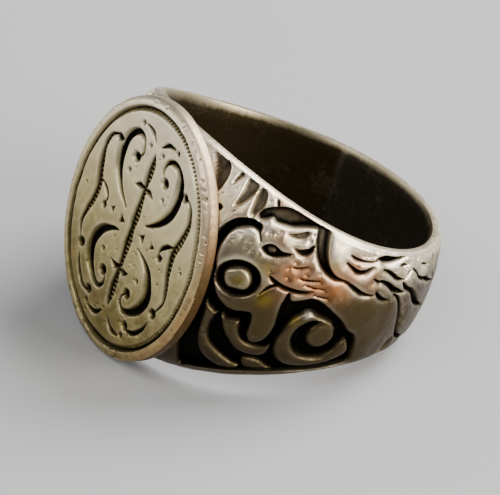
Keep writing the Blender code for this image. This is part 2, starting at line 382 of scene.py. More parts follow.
def build_band_tree():
    """A node tree that rolls a grid into a closed sector of the band."""
    tree = bpy.data.node_groups.new("band sector", "GeometryNodeTree")
    tree.interface.new_socket("Geometry", in_out="OUTPUT", socket_type="NodeSocketGeometry")
    for name, kind in band_inputs:
        tree.interface.new_socket(name, in_out="INPUT", socket_type=kind)
    given = add_node(tree, "NodeGroupInput")
    values = {name: given.outputs[name] for name, _ in band_inputs}
    values["Index"] = add_node(tree, "GeometryNodeInputIndex").outputs[0]
    for name, operation, first, second in band_rows:
        inputs = {0: values.get(first, first), 1: values.get(second, second)}
        values[name] = add_node(tree, "ShaderNodeMath", {"operation": operation}, inputs).outputs[0]
    grid = add_node(tree, "GeometryNodeMeshGrid", None,
                    {"Vertices X": values["grid columns"], "Vertices Y": values["grid rows"]})
    place = add_node(tree, "ShaderNodeCombineXYZ", None,
                     {0: values["x"], 1: values["y"], 2: values["height"]})
    shape = add_node(tree, "GeometryNodeSetPosition", None,
                     {"Geometry": grid.outputs[0], "Position": place.outputs[0]}).outputs[0]
    for attribute, value in (("angle", "angle"), ("across", "height"), ("outside", "outside kept")):
        shape = add_node(tree, "GeometryNodeStoreNamedAttribute",
                         {"data_type": "FLOAT", "domain": "POINT"},
                         {"Geometry": shape, "Name": attribute, "Value": values[value]}).outputs[0]
    shape = add_node(tree, "GeometryNodeMergeByDistance", None,
                     {"Geometry": shape, "Distance": 0.0002}).outputs[0]
    shape = add_node(tree, "GeometryNodeRealizeInstances", None, {"Geometry": shape}).outputs[0]
    shape = add_node(tree, "GeometryNodeSetMaterial", None,
                     {"Geometry": shape, "Material": values["Finish"]}).outputs[0]
    add_node(tree, "NodeGroupOutput", None, {0: shape})
    return tree


band_tree = build_band_tree()
print("band tree:", len(band_tree.nodes), "nodes")

# %% [markdown]
# ## Turning a node tree into a plain mesh
#
# A modifier keeps working while the file is open, but the export wants finished meshes. So
# each piece is made on a helper object: the modifier's inputs are set by their sockets'
# identifiers, the result is copied out with new_from_object, and the helper goes away.

# %% Run a tree once and keep its mesh


def mesh_from_tree(name, tree, source, values):
    """The mesh that a node tree makes from a source object's data, with these named inputs."""
    helper = bpy.data.objects.new(name, source)
    bpy.context.scene.collection.objects.link(helper)
    modifier = helper.modifiers.new("shape", "NODES")
    modifier.node_group = tree
    for item in tree.interface.items_tree:
        if item.item_type == "SOCKET" and item.in_out == "INPUT" and item.name in values:
            modifier[item.identifier] = values[item.name]
    bpy.context.view_layer.update()
    graph = bpy.context.evaluated_depsgraph_get()
    made = bpy.data.meshes.new_from_object(helper.evaluated_get(graph))
    made.name = name
    bpy.data.objects.remove(helper)
    return made


def read_values(mesh, attribute):
    """A float attribute of every vertex, as an array."""
    values = np.empty(len(mesh.vertices), np.float32)
    mesh.attributes[attribute].data.foreach_get("value", values)
    return values


def write_values(mesh, attribute, values):
    """Stores one float at every vertex, for a material to read."""
    if attribute in mesh.attributes:
        mesh.attributes.remove(mesh.attributes[attribute])
    made = mesh.attributes.new(attribute, "FLOAT", "POINT")
    made.data.foreach_set("value", np.asarray(values, np.float32))


def read_points(mesh):
    """Every vertex's place, as rows of x, y and z."""
    points = np.empty(len(mesh.vertices) * 3, np.float32)
    mesh.vertices.foreach_get("co", points)
    return points.reshape(-1, 3)


def write_points(mesh, points):
    """Moves every vertex to its row of x, y and z."""
    mesh.vertices.foreach_set("co", points.astype(np.float32).ravel())
    mesh.update()


def face_outwards(mesh):
    """Turns every face of a closed mesh to point out."""
    work = bmesh.new()
    work.from_mesh(mesh)
    bmesh.ops.recalc_face_normals(work, faces=work.faces)
    work.to_mesh(mesh)
    work.free()


INSIDE_CELLS = 12  # the hole's wall is straight across, so a few cells do


def band_mesh(name, start, end, along, outside, finish, setback=0.0):
    """A sector of the band in mm, about the finger hole, with this many cells each way."""
    empty = bpy.data.meshes.new(name)
    return mesh_from_tree(name, band_tree, empty, {
        "Start": start, "End": end, "Setback": setback,
        "Along": along, "Outside": outside, "Inside": INSIDE_CELLS,
        "Hole Radius": hole_radius, "Rim Wall": RIM_WALL,
        "Seat Distance": seat_distance, "Edge Round": EDGE_ROUND,
        "Head Width": head_half_width, "Side Width": side_half_width, "Back Width": back_half_width,
        "Head Crown": HEAD_CROWN, "Side Crown": side_radius - hole_radius - RIM_WALL,
        "Back Crown": back_radius - hole_radius - RIM_WALL, "Crown Power": CROWN_POWER,
        "Finish": finish,
    })


test = band_mesh("test", 160, 200, 8, 12, shank_finish)
test_points = read_points(test)
print("a test sector:", len(test.vertices), "vertices, back at",
      round(float(test_points[:, 1].max()), 3), "mm from the hole's centre; the frame says",
      round(back_radius, 3))
bpy.data.meshes.remove(test)

# %% [markdown]
# ## Carving with outlines and strokes
#
# An engraver works with two moves: clearing the ground round a form, and cutting a line that
# swells and thins. Both are done here by distance. For a cleared pocket, each point of the
# surface asks how far inside the pocket's outline it is. For a stroke, it asks how far it is
# from the cutter's path, against the half width of the cut there. The same profile turns that
# distance into depth: a soft roll over the worn edge, then a steep wall, then the floor.
# Outlines and paths are a few given points with a smooth curve through them.

# %% Curves through points, and distances to them
CURVE_STEPS = 8


def smooth_through(points, closed):
    """A Catmull-Rom curve through the points, as an array with the same columns."""
    points = np.asarray(points, float)
    count = len(points)
    if closed:
        order = [(i - 1) % count for i in range(count + 3)]
    else:
        order = [0, *range(count), count - 1]
    before, start, end, after = (points[order[i:len(order) - 3 + i]] for i in range(4))
    made = []
    for share in np.arange(CURVE_STEPS) / CURVE_STEPS:
        made.append(0.5 * (2 * start + (end - before) * share
                           + (2 * before - 5 * start + 4 * end - after) * share ** 2
                           + (3 * start - before - 3 * end + after) * share ** 3))
    made = np.stack(made, 1).reshape(-1, points.shape[1])
    return made if closed else np.vstack([made, points[-1]])


def to_segments(places, path):
    """Distance from each place to a polyline, and the polyline's third column at that spot."""
    nearest = np.full(len(places), 1e9)
    value = np.zeros(len(places))
    for start, end in zip(path, path[1:]):
        run = end[:2] - start[:2]
        length = max(float(run @ run), 1e-12)
        share = np.clip(((places - start[:2]) @ run) / length, 0, 1)
        gap = np.hypot(*(places - start[:2] - share[:, None] * run).T)
        closer = gap < nearest
        nearest[closer] = gap[closer]
        if path.shape[1] > 2:
            value[closer] = (start[2] + share * (end[2] - start[2]))[closer]
    return nearest, value


def inside_outline(places, outline):
    """Distance to a closed outline, positive inside it."""
    loop = np.vstack([outline, outline[:1]])
    gap, _ = to_segments(places, loop)
    inside = np.zeros(len(places), bool)
    for start, end in zip(loop, loop[1:]):
        spans = (start[1] > places[:, 1]) != (end[1] > places[:, 1])
        rise = end[1] - start[1]
        crossing = start[0] + (places[:, 1] - start[1]) * (end[0] - start[0]) / (rise or 1e-9)
        inside ^= spans & (places[:, 0] < crossing)
    return np.where(inside, gap, -gap)


def inside_stroke(places, path):
    """How far inside a cut each place is: the cut's half width there, less the distance to it."""
    gap, half = to_segments(places, path)
    return half - gap


print("a ring of four points becomes", len(smooth_through([(0, 0), (1, 0), (1, 1), (0, 1)], True)))

# %% The cutter's profile, and a block that is carved shape by shape
ROLL = 0.14  # mm of worn edge that rolls down to a cut
ROLL_SHARE = 0.18  # how much of the depth the roll takes; the wall takes the rest
REACH = 1.2  # mm round a shape that may feel it
HALF_CUT_FULL_DEPTH = 0.12  # mm: a thinner cut is shallower, as a pointed cutter leaves it


class Carving:
    """Depths cut into a surface, in mm, at places given in mm on a flat chart."""

    def __init__(self, places):
        self.places = places
        self.depth = np.zeros(len(places))
        self.soot = np.zeros(len(places))
        self.clear = np.full(len(places), REACH)

    def near(self, shape, margin):
        """Which places lie in the shape's box, with this margin."""
        low, high = shape[:, :2].min(0) - margin, shape[:, :2].max(0) + margin
        return np.flatnonzero(((self.places > low) & (self.places < high)).all(1))

    def cut(self, inside, here, depth, wall, roll, soot):
        """Lowers the surface where inside is above -roll, over a wall this wide, and blackens it."""
        rolled = np.clip(1 + inside / roll, 0, 1)
        walled = np.clip(inside / wall, 0, 1)
        share = ROLL_SHARE * rolled ** 2 + (1 - ROLL_SHARE) * np.sin(walled * math.pi / 2)
        self.depth[here] = np.maximum(self.depth[here], depth * share)
        self.soot[here] = np.maximum(self.soot[here], soot * np.clip(2 * inside / wall, 0, 1))
        self.clear[here] = np.minimum(self.clear[here], np.maximum(-inside, 0))

    def pocket(self, outline, depth, wall=0.12, roll=ROLL, soot=1.0):
        """A cut inside an outline, with a flat floor."""
        shape = smooth_through(outline, True)
        here = self.near(shape, REACH)
        self.cut(inside_outline(self.places[here], shape), here, depth, wall, roll, soot)

    def stroke(self, path, depth, roll=0.12, flat=False, soot=1.0):
        """A cut along a path of (x, y, half width): a V, or flat-bottomed."""
        shape = smooth_through(path, False)
        shape[:, 2] = np.maximum(shape[:, 2], 0.01)
        here = self.near(shape, REACH)
        inside = inside_stroke(self.places[here], shape)
        _, half = to_segments(self.places[here], shape)
        wall = np.maximum(half * (0.45 if flat else 1.0), 0.02)
        width_share = np.clip(half / HALF_CUT_FULL_DEPTH, 0.35, 1.0)
        self.cut(inside, here, depth * width_share, wall, roll, soot)

    def raised(self, outline, top, wall=0.3):
        """Leaves a form standing in ground already cleared, with its edges rounded over."""
        shape = smooth_through(outline, True)
        here = self.near(shape, 0.02)
        inside = inside_outline(self.places[here], shape)
        share = np.clip(inside / wall, 0, 1)
        rounded = np.sqrt(1 - (1 - share) ** 2)
        ground = self.depth[here]
        left = ground + (top - ground) * rounded
        self.depth[here] = np.where(inside > 0, np.minimum(ground, left), ground)
        self.soot[here] *= 1 - rounded
        self.clear[here] = np.where(inside > 0, np.maximum(0, inside), self.clear[here])


def ellipse(middle, half_x, half_y, count=10, tilt=0.0):
    """Points round an ellipse."""
    turns = np.arange(count) * 2 * math.pi / count
    x, y = half_x * np.cos(turns), half_y * np.sin(turns)
    tilt = math.radians(tilt)
    return [(middle[0] + a * math.cos(tilt) - b * math.sin(tilt),
             middle[1] + a * math.sin(tilt) + b * math.cos(tilt)) for a, b in zip(x, y)]


print("four points of an ellipse:", np.round(ellipse((8.3, 1.2), 0.9, 0.8, 4), 2).tolist())

# %% [markdown]
# ## The eagle's head and the scroll
#
# Each shoulder is a bird of prey's head in low relief. The hooked beak turns down beside the
# table and closes on a round bead, the neck's feathers run back along the band as long cuts,
# and under the throat the neck curls into a big C scroll. Above the beak a fan of leaves fills
# the corner by the rim. The shapes are drawn on the unrolled band: the first number is the
# angle round the hole in degrees, the second is the distance across in mm.
#
# The ground is cleared to about two thirds of a millimetre, and the carving runs out before it
# reaches the rims, where the wall is thin. Between the cuts the metal swells a little, as a
# form does when its edges are worked over.

# %% The outlines of the carving, on the unrolled band
CHART = 0.2  # mm on the chart for each degree round the hole


def on_chart(points):
    """Points written as (degrees, mm, ...) turned to mm on the chart."""
    return [(point[0] * CHART, *point[1:]) for point in points]


lower_ground = [
    (42.8, 4.72), (40, 4.88), (37, 4.8), (34.5, 4.55), (32.3, 4.0), (31, 3.2), (30.3, 2.2),
    (30.0, 1), (30.0, -3), (30.5, -6.3), (34, -6.5), (42, -6.1), (50, -5.65), (58, -5.25),
    (66, -4.85), (74, -4.6), (82, -4.25), (87, -4.0), (90.2, -3.6), (90, -3.0), (89, -2.3),
    (87, -1.65), (84.5, -1.4), (82.5, -1.15), (79, -0.5), (75.5, -0.05), (72, 0.4), (69, 0.7),
    (66, 0.85), (62.5, 0.65), (60, 0.5), (58.7, 0.6), (57.8, 1.05), (57.2, 0.6), (56.7, 0),
    (56.8, -0.8), (57, -1.4), (56.3, -2.1), (54.8, -2.65), (52.5, -2.9), (50.5, -2.8),
    (49.3, -2.3), (49.3, -1.5), (48.6, -0.9), (46.5, -0.88), (44, -0.98), (41.5, -0.88),
    (39, -0.55), (37, -0.1), (35.5, 0.7), (34.9, 1.5), (34.1, 1.9), (33.8, 2.6), (34.3, 3.3),
    (35.5, 3.9), (37.5, 4.2), (40, 4.35), (42, 4.3), (43.2, 4.25),
]
ground_behind_crest = [
    (40.4, 5.2), (42, 5.62), (45, 5.85), (50, 6.0), (55, 5.85), (60, 5.6), (64, 5.35),
    (65.5, 5.0), (62, 4.95), (60.5, 5.12), (57, 5.08), (52, 4.9), (47, 4.95), (45.2, 5.12),
    (43, 4.95), (41.3, 4.9),
]
bead_hollow = ellipse((41.8, 1.2), 6.4, 1.18, 12)
bead = [(37.3, 1.45), (38.6, 1.75), (41.4, 1.95), (44, 1.82), (45.8, 1.35), (46.0, .9), (44.9, .52),
        (42, .42), (39.4, .45), (38, .75), (37.3, 1.1)]
eye = [(45.1, 3.45), (46.3, 3.72), (48.2, 3.8), (50, 3.67), (51.7, 3.52), (54.8, 3.48),
       (53.5, 3.3), (51.5, 3.15), (49.5, 3.05), (47.5, 3.08), (46, 3.22)]
brow_crescent = [(51.6, 4.6), (53.5, 4.68), (56, 4.82), (57.6, 4.95), (58.5, 4.88), (58.3, 4.6),
                 (57, 4.42), (55, 4.35), (53, 4.42)]
cheek_notch = [(55.1, 3.85), (57, 3.84), (59.5, 3.98), (61, 4.22), (61.6, 4.1), (61.3, 3.75),
               (60, 3.5), (58.3, 3.42), (56.5, 3.58)]
leaf_hollows = [
    [(17.5, 7.35), (19.3, 6.95), (21.5, 6.4), (23.2, 5.9), (24.9, 5.55), (26.3, 5.6), (26.9, 6.1),
     (26.7, 6.6), (25.8, 7.0), (24.3, 7.35), (21, 7.6), (18.5, 7.6)],
    [(28.9, 6.3), (29.9, 6.4), (30.7, 6.7), (31.9, 6.95), (31.3, 7.2), (29.8, 7.2), (29.3, 6.8)],
    [(32.6, 5.2), (34, 5.3), (35.4, 5.6), (36.7, 6.05), (37.4, 6.5), (37.2, 6.9), (35, 7.1),
     (33.2, 7.1), (32.9, 6.5), (33, 6.0), (32.8, 5.6)],
    [(38.1, 5.1), (39.3, 4.95), (40.4, 5.2), (41.5, 5.7), (41.2, 6.25), (40, 6.7), (38.6, 6.85),
     (38, 6.5), (37.8, 5.9)],
]

# forms left standing in the lower ground
scroll = [
    (78.6, -1.2), (76.6, -0.68), (74, -0.42), (71, -0.25), (68.5, -0.05), (66.2, -0.02),
    (63, -0.4), (60.4, -1.1), (58.9, -2.0), (58.5, -2.6), (59, -3.2), (60.6, -3.8),
    (63.5, -4.25), (67.5, -4.45), (72, -4.42), (77, -4.2), (82, -3.85), (85.6, -3.4),
    (87.4, -3.0), (87.4, -2.6), (86.3, -2.2), (84.3, -1.85), (83, -2.05), (81.6, -2.4),
    (80, -2.9), (77, -3.3), (73, -3.42), (69, -3.3), (66, -2.9), (64.6, -2.4), (64.4, -1.9),
    (65.2, -1.42), (67.2, -1.0), (69.6, -0.82), (72.5, -0.95), (75.5, -1.2),
]
scroll_eye = ellipse((73.6, -1.72), 5.5, 1.02, 12)
throat_leaf = [(40.2, -1.4), (42, -1.6), (44.5, -1.55), (46.6, -1.65), (47.2, -2.2), (48.3, -2.7),
               (50.5, -3.05), (53.5, -3.15), (56.5, -3.05), (58.2, -2.7), (58.5, -3.2),
               (57.8, -3.8), (55, -4.1), (51, -4.1), (47.5, -3.85), (44.5, -3.3), (42, -2.6),
               (40.8, -2.0)]
side_leaf = [(35, -.85), (36.5, -1.1), (38.3, -1.35), (39.6, -1.5), (38.8, -2.0), (38.2, -2.8),
             (38.8, -3.5), (40.5, -4.0), (43.5, -4.5), (47, -4.9), (51, -5.15), (50, -5.6),
             (45, -5.8), (41, -5.55), (38, -5.1), (36.2, -4.5), (35.1, -3.6), (34.9, -2.4)]
low_lobe = [(50.5, -4.4), (53.5, -4.3), (57, -4.4), (60, -4.75), (62.5, -4.95), (58, -5.25),
            (53.5, -5.35), (50.8, -5.0)]

# feather cuts and creases: (degrees, mm across, half width of the cut in mm)
neck_groove = [(63.6, 5.3, .5), (63.8, 4.6, .48), (64.6, 3.9, .42), (65.9, 3.35, .34),
               (67.4, 2.95, .26), (69.6, 2.6, .18), (72, 2.38, .12), (75, 2.27, .07),
               (77.2, 2.1, .08), (80, 1.8, .12), (83, 1.5, .12), (85.5, 1.38, .08),
               (88.5, 1.33, .02)]
feather_cuts = [
    [(75.5, 3.92, .03), (78, 3.72, .06), (81, 3.6, .05), (85, 3.55, .04), (87, 3.6, .05)],
    [(86, 3.62, .04), (88, 3.7, .1), (90.5, 3.65, .19), (94, 3.6, .17), (98, 3.65, .11),
     (101, 3.7, .03)],
    [(74.5, 3.45, .03), (77, 3.15, .06), (79.5, 2.9, .1), (82, 2.88, .11), (84, 3.05, .07),
     (85.3, 3.2, .03)],
    [(87, 2.45, .03), (89.5, 2.25, .06), (91.5, 2.22, .07), (95, 1.95, .1), (98, 1.6, .13),
     (101, 1.4, .1), (103.8, 1.25, .03)],
    [(89.6, 1.5, .04), (91.5, 1.2, .08), (93.5, 1.0, .07), (96, .88, .03)],
    [(90.5, 3.05, .03), (93.5, 2.85, .08), (97, 2.5, .1), (99, 2.3, .08), (102.3, 2.15, .04)],
    [(99, 3.2, .04), (101, 3.15, .08), (102.6, 3.12, .03)],
    [(102, 2.15, .03), (103.7, 2.45, .05), (105, 2.7, .03)],
    [(102.3, 1.98, .04), (104.5, 1.6, .1), (107, 1.35, .09), (109.5, 1.15, .11), (112, .75, .18),
     (115, .25, .2), (118.5, -.2, .13), (122, -.5, .07), (126, -.85, .02)],
    [(106.8, 2.8, .03), (110, 2.4, .05), (113, 1.95, .06), (117, 1.65, .1), (119.5, 1.6, .13),
     (122, 1.3, .1), (125, 1.1, .06), (130, .8, .02)],
    [(121.8, 3.1, .03), (123.5, 2.7, .09), (124.8, 2.1, .09), (126.5, 1.5, .05), (128, 1.2, .03)],
    [(112.5, 2.9, .03), (115, 2.75, .06), (117.5, 2.65, .03)],
    [(98.5, 1.25, .03), (101, 1.05, .06), (103.2, .6, .08), (105, .05, .1), (106.8, -.6, .12),
     (108.3, -1.3, .15), (110.2, -1.9, .16), (113, -2.4, .13), (117, -2.8, .1), (121, -3.1, .06),
     (124, -3.3, .03)],
    [(108.5, -2.4, .03), (107.5, -2.8, .08), (106, -3.2, .07), (105, -3.45, .03)],
    [(138, .3, .02), (140, .1, .04), (143, -.05, .09), (146, -.45, .11), (149, -.75, .14),
     (152, -1.05, .08), (156, -1.3, .03)],
    [(141, .1, .03), (144, .2, .1), (147, .5, .09), (150.5, .8, .03)],
    [(134, -1.45, .02), (139, -1.85, .06), (143, -2.2, .13), (147, -2.45, .18), (151, -2.45, .18),
     (154, -2.4, .1), (158, -2.7, .03)],
    [(150.5, .2, .02), (154, -.25, .07), (157, -.6, .03)],
]
head_cuts = [
    [(50.4, 1.85, .05), (52, 1.6, .13), (54.5, 1.38, .14), (57, 1.26, .15), (60, 1.2, .13),
     (63, 1.24, .08), (65, 1.38, .02)],
    [(49.2, .6, .02), (50.6, 1.0, .07), (52.2, 1.3, .09), (54, 1.4, .08)],
    [(56.4, 2.7, .03), (58.5, 2.72, .05), (61.5, 2.9, .03)],
    [(59.5, 2.1, .03), (62, 2.03, .06), (66.5, 2.12, .03)],
    [(62, 1.72, .03), (65, 1.6, .04), (69, 1.58, .02)],
    [(66, 1.12, .02), (68, 1.05, .04), (71, 1.0, .02)],
    [(40.8, 4.5, .02), (42.3, 4.42, .05), (43.4, 4.15, .06), (44.4, 3.75, .03)],
    [(44.3, 6.35, .04), (45.2, 6.15, .1), (45.7, 5.9, .08)],
    [(26.2, 4.55, .2), (27.6, 4.75, .34), (29.0, 4.85, .2)],
    [(29.8, 4.5, .05), (29.9, 3.9, .2), (30.6, 3.3, .1)],
]
# forms in the lower ground: outline, depth of the top in mm, width of the rounded edge in mm
standing_forms = [(scroll, 0.02, 0.36), (scroll_eye, 0.04, 0.36), (throat_leaf, 0.12, 0.34),
                  (side_leaf, 0.16, 0.34), (low_lobe, 0.25, 0.3)]
print("carving:", len(feather_cuts) + len(head_cuts), "cuts,", len(leaf_hollows),
      "leaf hollows and", len(standing_forms), "standing forms")

# %% Cut the whole shoulder once, for any set of places
GROUND_DEPTH, CREST_DEPTH, LEAF_DEPTH = 0.66, 0.6, 0.46  # mm
NECK_DEPTH, FEATHER_DEPTH, LINE_DEPTH = 0.55, 0.5, 0.34
NICK_DEPTH = 0.08
BULGE = 0.14  # how far the metal swells between the cuts
CUT_WIDENED = 1.5  # wear has opened the feather cuts to this many times their drawn width
luck = np.random.default_rng(7)
# nicks: a place on the chart and a radius, most of them by the upper rim
nicks = [((luck.uniform(26, 62) * CHART, luck.normal(5.6, 0.9)), luck.uniform(0.04, 0.1))
         for _ in range(60)]
nicks += [((luck.uniform(34, 120) * CHART, luck.normal(3.2, 0.8)), luck.uniform(0.03, 0.07))
          for _ in range(40)]
print("nicks:", len(nicks))


def band_half_width(angle):
    """The band's half width at these angles, as the frame's three sizes give it."""
    ratio = (side_half_width - back_half_width) / (head_half_width - back_half_width)
    bend = math.log(ratio) / math.log(0.5)
    near_head = np.cos(np.radians(angle) / 2) ** 2
    return back_half_width + (head_half_width - back_half_width) * near_head ** bend


def shoulder_relief(angle, across):
    """A carving on the band at these angles and distances across."""
    work = Carving(np.column_stack([angle * CHART, across]))
    work.pocket(on_chart(lower_ground), GROUND_DEPTH, wall=0.14)
    for outline, top, wall in standing_forms:
        work.raised(on_chart(outline), top, wall)
    work.pocket(on_chart(bead_hollow), GROUND_DEPTH, wall=0.12, roll=0.15)
    work.raised(on_chart(bead), 0.0, wall=0.22)
    work.pocket(on_chart(ground_behind_crest), CREST_DEPTH, wall=0.16, roll=0.1, soot=0.75)
    # the eyeball stands in its socket, and a cut with no depth blackens both
    work.pocket(on_chart(eye), 0.34, wall=0.1, roll=0.1)
    work.raised(on_chart(ellipse((48.3, 3.42), 1.6, 0.24, 8)), 0.2, wall=0.3)
    work.pocket(on_chart(eye), 0.0, wall=0.1, roll=0.01, soot=0.6)
    work.pocket(on_chart(brow_crescent), 0.26, wall=0.15, roll=0.08, soot=0.5)
    work.pocket(on_chart(cheek_notch), 0.36, wall=0.15, roll=0.1, soot=0.75)
    for outline in leaf_hollows:
        work.pocket(on_chart(outline), LEAF_DEPTH, wall=0.24, roll=0.08, soot=0.5)
    work.stroke(on_chart(neck_groove), NECK_DEPTH, roll=0.15, flat=True, soot=0.7)
    for path in head_cuts:
        work.stroke(on_chart(path), LINE_DEPTH, roll=0.1)
    for path in feather_cuts:
        widened = [(x, y, half * CUT_WIDENED) for x, y, half in on_chart(path)]
        work.stroke(widened, FEATHER_DEPTH, roll=0.14)
    for middle, radius in nicks:
        work.pocket(ellipse(middle, radius, radius * 0.7, 6), NICK_DEPTH, wall=radius, roll=0.05,
                    soot=0.5)
    # the rims stay whole: the carving runs out before it reaches them
    from_rim = band_half_width(angle) - np.abs(across)
    kept = np.clip((from_rim - 0.1) / 0.22, 0, 1)
    work.depth *= kept
    work.soot *= kept
    work.clear *= kept
    return work


# %% [markdown]
# ## Patina and wear from the shape, and painted light and shade
#
# Nobody paints the patina on a ring. Sulphide grows everywhere and is rubbed off wherever skin
# reaches, so the shape decides. Each vertex's height is compared with the average height round
# it: what lies lower blackens, and what stands proud is rubbed bright. A few soft patches are
# given on top of that, where the metal is worn to copper or rubbed brightest. The bright ones,
# high on the upper side, are also a painted highlight. Light and shade are painted in too: the
# lower side and the finger hole get a painted shade, and the upper rims and forms a painted
# highlight.

# %% Put the carving on a piece of the band, and store patina, wear and painted light and shade
WAVES = 36
WAVE_HEIGHT = 0.0022  # mm for each mm of wave length
HOLLOW_DEPTH, PROUD_HEIGHT = 0.14, 0.08  # mm from the average where the effect is full
NEIGHBOUR_ROUNDS = 40
SHARP_EDGE = math.radians(50)


def smooth_over_edges(mesh, values, rounds):
    """Values averaged with their neighbours' along the mesh's edges, some rounds over."""
    ends = np.empty(len(mesh.edges) * 2, np.int32)
    mesh.edges.foreach_get("vertices", ends)
    first, second = ends.reshape(-1, 2).T
    total = len(values)
    count = np.bincount(first, minlength=total) + np.bincount(second, minlength=total)
    for _ in range(rounds):
        summed = (np.bincount(first, values[second], total)
                  + np.bincount(second, values[first], total))
        values = 0.5 * values + 0.5 * summed / np.maximum(count, 1)
    return values


def hand_wear(points):
    """Soft unevenness of a hand-finished surface, in mm, at points in mm: waves in all directions."""
    chance = np.random.default_rng(11)
    height = np.zeros(len(points))
    for _ in range(WAVES):
        length = chance.uniform(0.5, 2.6)
        heading = chance.normal(size=3)
        heading *= 2 * math.pi / length / np.linalg.norm(heading)
        height += length * np.sin(points @ heading + chance.uniform(0, 2 * math.pi))
    return WAVE_HEIGHT * height


def patches(places, spots):
    """Soft round patches: (x, y, radius, strength) in mm, the strongest one at each place."""
    total = np.zeros(len(places))
    for x, y, radius, strength in spots:
        gap = np.hypot(*(places - (x, y)).T)
        total = np.maximum(total, strength * np.exp(-(gap / radius) ** 2))
    return total


def store_state(mesh, height, soot, tarnish_and_shade, copper, brass, wear_and_highlight, rub_and_highlight):
    """The state at each vertex, with painted shade and highlight. Hollows blacken; what stands proud
    is rubbed, as far as the rub value says.
    """
    around = smooth_over_edges(mesh, height, NEIGHBOUR_ROUNDS)
    hollow = np.clip((around - height) / HOLLOW_DEPTH, 0, 1)
    proud = np.clip((height - around) / PROUD_HEIGHT, 0, 1) * rub_and_highlight
    # soot and tarnish may carry painted shade, and wear and the rub value painted highlight, as the
    # callers give them
    write_values(mesh, "patina_and_shade", np.clip(0.85 * soot + 0.25 * hollow, 0, 1))
    write_values(mesh, "tarnish_and_shade", np.clip(tarnish_and_shade + 0.4 * soot - 0.6 * proud, 0, 1))
    write_values(mesh, "copper", copper)
    write_values(mesh, "brass", brass)
    write_values(mesh, "wear_and_highlight", np.clip(wear_and_highlight + 0.6 * proud, 0, 1))


def lay_piece(name, mesh, node):
    """A finished mesh in ring axes becomes a piece of the ring that stands for its CAD node."""
    mesh.transform(lay_down @ Matrix.Scale(MM, 4))
    face_outwards(mesh)
    mesh.shade_smooth()
    mesh.set_sharp_from_angle(angle=SHARP_EDGE)
    piece = bpy.data.objects.new(name, mesh)
    bpy.context.scene.collection.objects.link(piece)
    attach(piece, "root")
    if node:
        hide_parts(node)
    print(f"{name}: {len(mesh.polygons)} faces")


# %% Where the shoulders are rubbed bright and given a painted highlight, or worn to copper or brass, and carve them
# each patch: degrees round the hole, mm across, radius in mm, strength
# the bright patches are worn high points and a painted highlight too, along the top of the neck, the
# brow and the palmette by the upper rim
bright_wear_and_highlight_spots = [(68, 4.4, .7, .9), (74, 4.2, .7, 1), (81, 4.0, .6, 1), (88, 3.9, .5, 1),
                (96, 3.4, .7, .9), (105, 2.9, .7, .9), (114, 2.8, .7, .8), (45, 4.85, .45, 1),
                (50, 4.7, .4, .7), (37, 4.1, .45, .7), (40.5, 4.25, .35, .7), (27, 6.9, .6, .6),
                (31, 6.2, .5, .6), (36, 5.6, .4, .5), (42.5, 6.1, .4, .6), (66, -.15, .25, .8),
                (59, 4.3, .4, .6), (48, 6.2, .4, .7)]
copper_spots = [(58, 2.4, 1.5, 1), (66, 1.9, 1.2, .9), (73, 2.1, 1.2, 1), (78, 3.2, 1.1, .9),
                (50, 4.3, .6, .7), (47, 6.1, .6, .8), (55, 5.9, .7, .8), (60, 3.4, .8, .6),
                (86, 2.5, 1.0, .5), (20, 5.8, 1.4, .7), (31, 1, 1.0, .5), (36, 5.1, .8, .4)]
brass_spots = [(48, 2.4, .6, .8), (43, 1.4, .6, .9), (51, .4, .5, .8), (70, 3.2, .35, 1),
               (62, -.7, .4, .8), (46, 1.0, .9, .4)]


def carve_band(mesh, side):
    """Lowers and swells the outside of a band sector by the shoulder's relief: side is 1 or -1."""
    points = read_points(mesh).astype(float)
    angle, across = read_values(mesh, "angle"), read_values(mesh, "across").astype(float)
    outside = read_values(mesh, "outside") > 0.5
    folded = np.abs((angle + 180) % 360 - 180)
    depth, soot, clear = (np.zeros(len(points)) for _ in range(3))
    work = shoulder_relief(folded[outside], across[outside])
    depth[outside], soot[outside], clear[outside] = work.depth, work.soot, work.clear
    # the swelling starts beside the table and fades out towards the back
    on_bird = np.clip((folded - 33) / 6, 0, 1) * np.clip((150 - folded) / 30, 0, 1)
    swell = BULGE * (1 - np.exp(-clear / 0.32)) * on_bird
    height = np.where(outside, swell - depth, 0)
    out = np.column_stack([np.sin(np.radians(angle)), -np.cos(np.radians(angle))])
    points[:, :2] += out * (height + outside * hand_wear(points) * (folded > 27))[:, None]
    points[:, 0] *= side
    write_points(mesh, points)

    # painted shade and highlight: the lower side is painted duller and darker, and the finger hole is
    # painted dark. Both rims are rubbed bright, and a painted highlight makes the upper ones
    # brightest
    places = np.column_stack([folded * CHART, across])
    tarnish_and_shade = np.where(outside, np.clip((4.8 - across) / 4.2, 0.12, 1), 1.0)
    low_side_painted_shade = np.clip((-1 - across) / 8, 0, 0.3)
    at_rim = np.clip((np.abs(across) - band_half_width(folded) + 0.6) / 0.4, 0, 1)
    upper_painted_highlight = np.clip((across + 1.5) / 3, 0.15, 1)
    bright_wear_and_highlight = patches(places, on_chart(bright_wear_and_highlight_spots))
    hole_painted_shade = 0.55 * np.clip((band_half_width(folded) - np.abs(across) - 0.15) / 0.15, 0, 1)
    # the rub value grows towards the upper side, a painted highlight on the upper forms
    store_state(mesh, height, np.where(outside, np.maximum(soot, low_side_painted_shade), hole_painted_shade),
                tarnish_and_shade - at_rim * upper_painted_highlight - bright_wear_and_highlight * outside,
                patches(places, on_chart(copper_spots)) * outside,
                patches(places, on_chart(brass_spots)) * outside,
                np.maximum(at_rim * upper_painted_highlight, bright_wear_and_highlight) * outside, np.clip((across + 1) / 6, 0.05, 0.6))
    return mesh


